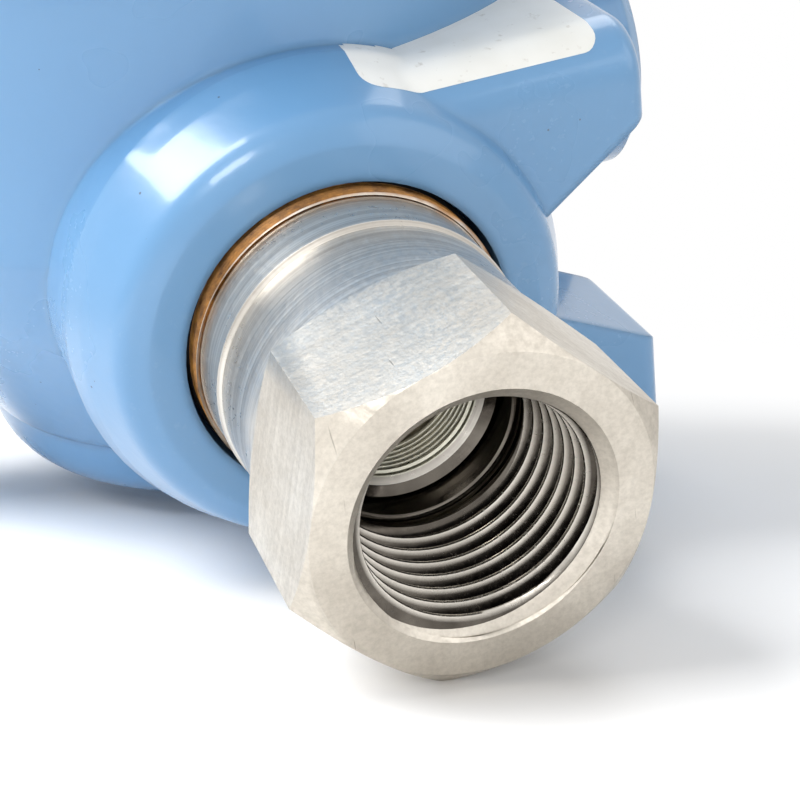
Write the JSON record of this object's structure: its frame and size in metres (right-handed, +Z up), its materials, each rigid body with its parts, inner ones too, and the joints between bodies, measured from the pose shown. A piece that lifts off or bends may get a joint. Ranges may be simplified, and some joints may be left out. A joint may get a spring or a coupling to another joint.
{
  "type": "pressure transmitter",
  "caption": "In-line pressure transmitter: stainless process connection with a hexagon and internal thread, under a round two-compartment housing with screwed covers.",
  "frame": {"origin": "centre of the process connection's end face", "axes": "+Z up the sensor axis from the process connection into the housing, conduit entries along X, covers along Y with the front one toward -Y"},
  "size_m": [0.1, 0.0886, 0.124],
  "materials": {
    "stainless": "turned and blasted stainless steel",
    "foil": "thin corrugated stainless foil",
    "cell_steel": "machined stainless steel",
    "header_glass": "steel header with sealed pins",
    "black_plastic": "moulded plastic",
    "seal_rubber": "black rubber ring",
    "blue_paint": "glossy blue paint on an aluminium casting",
    "brass": "turned brass",
    "screw_steel": "plain steel screws",
    "board_green": "green circuit board",
    "can_aluminium": "drawn can",
    "flex_film": "amber polyimide film"
  },
  "bodies": {
    "sensor_module": {"process_connector": "stainless", "isolating_diaphragm": "foil", "sensor_cell": "cell_steel", "header": "header_glass", "module_plug": "black_plastic", "neck_seal": "seal_rubber"},
    "housing": {"housing_casting": "blue_paint", "board_standoffs": "brass", "board_screws": "screw_steel", "electronics_board": "board_green", "board_chips": "black_plastic", "filter_capacitor": "can_aluminium", "signal_flex": "flex_film", "wall_feedthrough": "black_plastic", "terminal_block": "black_plastic", "wire_clamps": "screw_steel", "terminal_screws": "screw_steel", "inner_earth_screw": "brass", "outer_earth_screw": "screw_steel", "conduit_plug": "stainless"},
    "front_seal": {"front_cover_seal": "seal_rubber"},
    "front_cap": {"front_cover": "blue_paint"},
    "rear_seal": {"rear_cover_seal": "seal_rubber"},
    "rear_cap": {"rear_cover": "blue_paint"},
    "set_screw": {"rotation_set_screw": "screw_steel"},
    "front_lock": {"front_lock_screw": "screw_steel"},
    "rear_lock": {"rear_lock_screw": "screw_steel"}
  },
  "joints": [
    {"name": "housing_rotation", "type": "hinge", "parent": "sensor_module", "child": "housing", "pos_m": [0, 0, 0.04], "axis": [0, 0, 1], "range_deg": [-180, 180]},
    {"name": "front_cover_travel", "type": "slide", "parent": "housing", "child": "front_seal", "axis": [0, -1, 0], "range_m": [0, 0.00751]},
    {"name": "front_cover_turn", "type": "hinge", "parent": "front_seal", "child": "front_cap", "pos_m": [0, -0.05, 0.082], "axis": [0, -1, 0], "range_deg": [0, 1800]},
    {"name": "rear_cover_travel", "type": "slide", "parent": "housing", "child": "rear_seal", "axis": [0, 1, 0], "range_m": [0, 0.00751]},
    {"name": "rear_cover_turn", "type": "hinge", "parent": "rear_seal", "child": "rear_cap", "pos_m": [0, 0.021, 0.082], "axis": [0, 1, 0], "range_deg": [0, 1800]},
    {"name": "set_screw_turn", "type": "hinge", "parent": "housing", "child": "set_screw", "pos_m": [0, 0.018, 0.0372], "axis": [0, 1, 0], "range_deg": [0, 720]},
    {"name": "front_lock_turn", "type": "hinge", "parent": "housing", "child": "front_lock", "pos_m": [0, -0.045, 0.12], "axis": [0, 0, 1], "range_deg": [0, 720]},
    {"name": "rear_lock_turn", "type": "hinge", "parent": "housing", "child": "rear_lock", "pos_m": [0, 0.016, 0.11], "axis": [0, 0, 1], "range_deg": [0, 720]}
  ],
  "couplings": [
    {"joint": "front_cover_travel", "follows": "front_cover_turn", "m_per_rad": 0.00023873},
    {"joint": "rear_cover_travel", "follows": "rear_cover_turn", "m_per_rad": 0.00023873}
  ]
}
